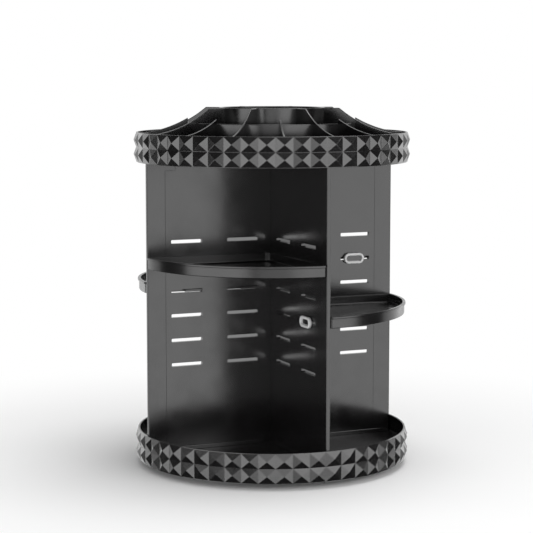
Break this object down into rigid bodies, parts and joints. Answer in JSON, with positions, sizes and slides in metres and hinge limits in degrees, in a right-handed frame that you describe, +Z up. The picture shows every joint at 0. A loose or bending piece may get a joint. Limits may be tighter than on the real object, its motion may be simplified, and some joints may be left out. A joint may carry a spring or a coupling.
{
  "type": "rotating makeup organiser",
  "caption": "Round carousel organiser: two studded trays, crossed slotted walls, hooked wedge shelves, a divided top with a brush cup, on a turntable base.",
  "frame": {"origin": "on the floor plane, under the turning axis", "axes": "+Z up along the turning axis; -Y out of the front compartment; +X out of the right compartment"},
  "size_m": [0.23, 0.23, 0.2985],
  "materials": {
    "black_plastic": "moulded, glossy",
    "black_satin": "moulded, satin",
    "grey_clip": "moulded, glossy grey",
    "natural_nylon": "moulded nylon",
    "rubber": "soft, matt",
    "bearing_steel": "ground and lightly oiled",
    "screw_steel": "zinc plated"
  },
  "bodies": {
    "base": {"base_plate": "black_satin", "rubber_feet": "rubber", "centre_bush": "natural_nylon", "lower_race": "bearing_steel"},
    "bearing": {"ball_cage": "natural_nylon", "bearing_balls": "bearing_steel"},
    "carousel": {"back_left_post": "black_plastic", "back_left_wall": "black_plastic", "back_right_post": "black_plastic", "back_right_wall": "black_plastic", "back_shelf": "black_plastic", "back_shelf_clip": "grey_clip", "bottom_screws": "screw_steel", "bottom_tray": "black_plastic", "brush_cup": "black_plastic", "centre_spine": "black_plastic", "front_left_post": "black_plastic", "front_left_wall": "black_plastic", "front_right_post": "black_plastic", "front_right_wall": "black_plastic", "front_shelf": "black_plastic", "front_shelf_clip": "grey_clip", "insert_plate": "black_plastic", "left_shelf": "black_plastic", "left_shelf_clip": "grey_clip", "long_dividers": "black_plastic", "pivot_screw": "screw_steel", "pivot_washer": "screw_steel", "pocket_ring": "black_plastic", "right_shelf": "black_plastic", "right_shelf_clip": "grey_clip", "short_dividers": "black_plastic", "top_screws": "screw_steel", "top_tray": "black_plastic", "upper_race": "bearing_steel"}
  },
  "joints": [
    {"name": "carousel_spin", "type": "hinge", "parent": "base", "child": "carousel", "pos_m": [0, 0, 0], "axis": [0, 0, 1], "continuous": true},
    {"name": "bearing_roll", "type": "hinge", "parent": "base", "child": "bearing", "pos_m": [0, 0, 0], "axis": [0, 0, 1], "continuous": true}
  ],
  "couplings": [
    {"joint": "bearing_roll", "follows": "carousel_spin", "ratio": 0.5}
  ]
}
